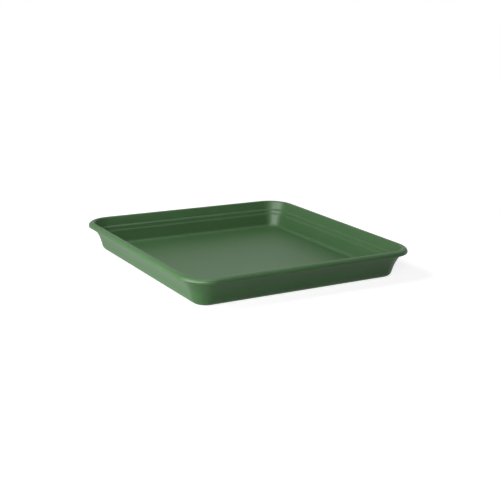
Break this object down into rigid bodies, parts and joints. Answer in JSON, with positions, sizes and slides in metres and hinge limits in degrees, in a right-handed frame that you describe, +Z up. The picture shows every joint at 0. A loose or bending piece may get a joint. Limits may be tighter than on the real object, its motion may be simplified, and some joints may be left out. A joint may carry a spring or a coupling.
{
  "type": "square plant saucer",
  "caption": "Low square tray with rounded corners, ledged inner walls and a rolled lip, which stands under a plant pot and catches its water.",
  "frame": {"origin": "on the surface that the saucer stands on, under the middle of the base", "axes": "+Z up through the middle of the tray; X and Y square to the sides"},
  "size_m": [0.32, 0.32, 0.0375],
  "materials": {
    "green_plastic": "dark green polypropylene with a fine moulded satin texture"
  },
  "bodies": {
    "root": {"saucer": "green_plastic"}
  },
  "joints": []
}
